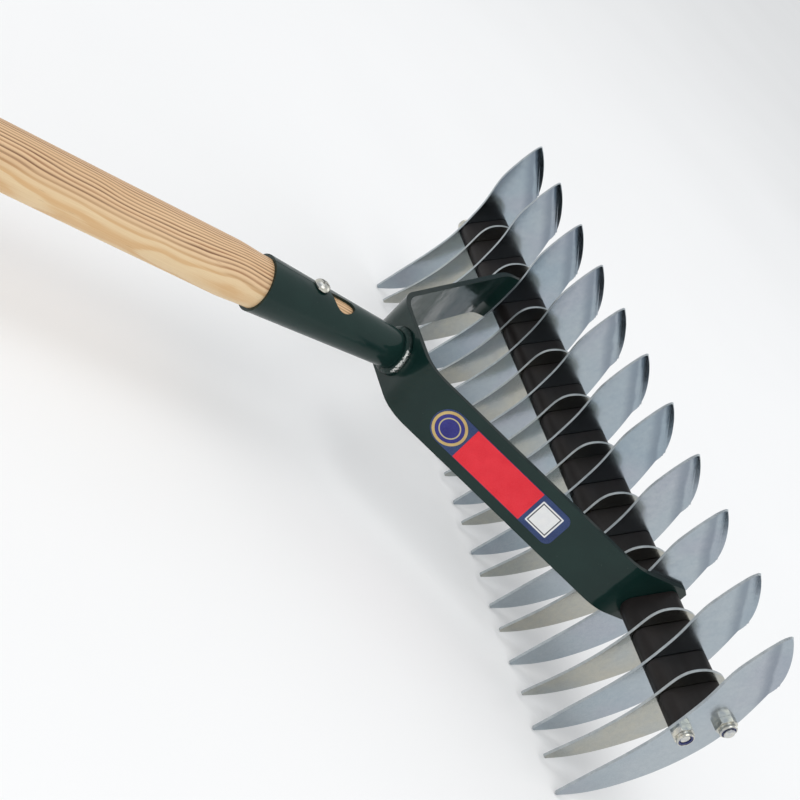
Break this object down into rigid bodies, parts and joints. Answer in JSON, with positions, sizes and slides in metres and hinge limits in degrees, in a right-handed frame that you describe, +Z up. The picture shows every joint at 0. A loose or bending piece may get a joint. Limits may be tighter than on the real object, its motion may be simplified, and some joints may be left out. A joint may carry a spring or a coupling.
{
  "type": "hand scarifying rake",
  "caption": "Long-handled garden rake whose head carries curved steel blades: narrow tines on one side, wide folded cutting edges on the other.",
  "frame": {"origin": "middle of the footprint, on the floor that the tine points and the handle's grip end rest on", "axes": "+X from the head towards the grip end of the handle, +Y across the head, towards the sticker side, +Z up, wide cutting edges up and tine points down"},
  "size_m": [1.4808, 0.3946, 0.1391],
  "materials": {
    "pine": "lightly varnished pine",
    "green_paint": "dark green gloss",
    "zinc_blade": "zinc-plated sheet steel",
    "bright_zinc": "bright zinc plate",
    "black_plastic": "satin moulded",
    "blue_nylon": "satin nylon",
    "navy_vinyl": "gloss vinyl",
    "red_vinyl": "gloss vinyl",
    "white_vinyl": "gloss vinyl",
    "gold_print": "gloss print",
    "blue_print": "gloss print"
  },
  "bodies": {
    "root": {"badge_disc": "blue_print", "badge_ring": "gold_print", "bracket": "green_paint", "double_blade_01": "zinc_blade", "double_blade_02": "zinc_blade", "double_blade_03": "zinc_blade", "double_blade_04": "zinc_blade", "double_blade_05": "zinc_blade", "double_blade_06": "zinc_blade", "double_blade_07": "zinc_blade", "double_blade_08": "zinc_blade", "double_blade_09": "zinc_blade", "double_blade_10": "zinc_blade", "double_blade_11": "zinc_blade", "handle": "pine", "handle_screw": "bright_zinc", "handle_socket": "green_paint", "label_panel": "red_vinyl", "label_patch": "white_vinyl", "label_sheet": "navy_vinyl", "lock_nuts": "bright_zinc", "nylon_rings": "blue_nylon", "socket_weld": "green_paint", "spacer_01": "black_plastic", "spacer_02": "black_plastic", "spacer_03": "black_plastic", "spacer_04": "black_plastic", "spacer_05": "black_plastic", "spacer_06": "black_plastic", "spacer_07": "black_plastic", "spacer_08": "black_plastic", "spacer_09": "black_plastic", "spacer_10": "black_plastic", "spacer_11": "black_plastic", "spacer_12": "black_plastic", "spacer_13": "black_plastic", "spacer_14": "black_plastic", "spacer_15": "black_plastic", "spacer_16": "black_plastic", "spacer_17": "black_plastic", "spacer_18": "black_plastic", "spacer_19": "black_plastic", "spacer_20": "black_plastic", "tie_rod_front": "bright_zinc", "tie_rod_rear": "bright_zinc", "tine_blade_01": "zinc_blade", "tine_blade_02": "zinc_blade", "tine_blade_03": "zinc_blade", "tine_blade_04": "zinc_blade", "tine_blade_05": "zinc_blade", "tine_blade_06": "zinc_blade", "tine_blade_07": "zinc_blade", "tine_blade_08": "zinc_blade", "tine_blade_09": "zinc_blade", "tine_blade_10": "zinc_blade"}
  },
  "joints": []
}
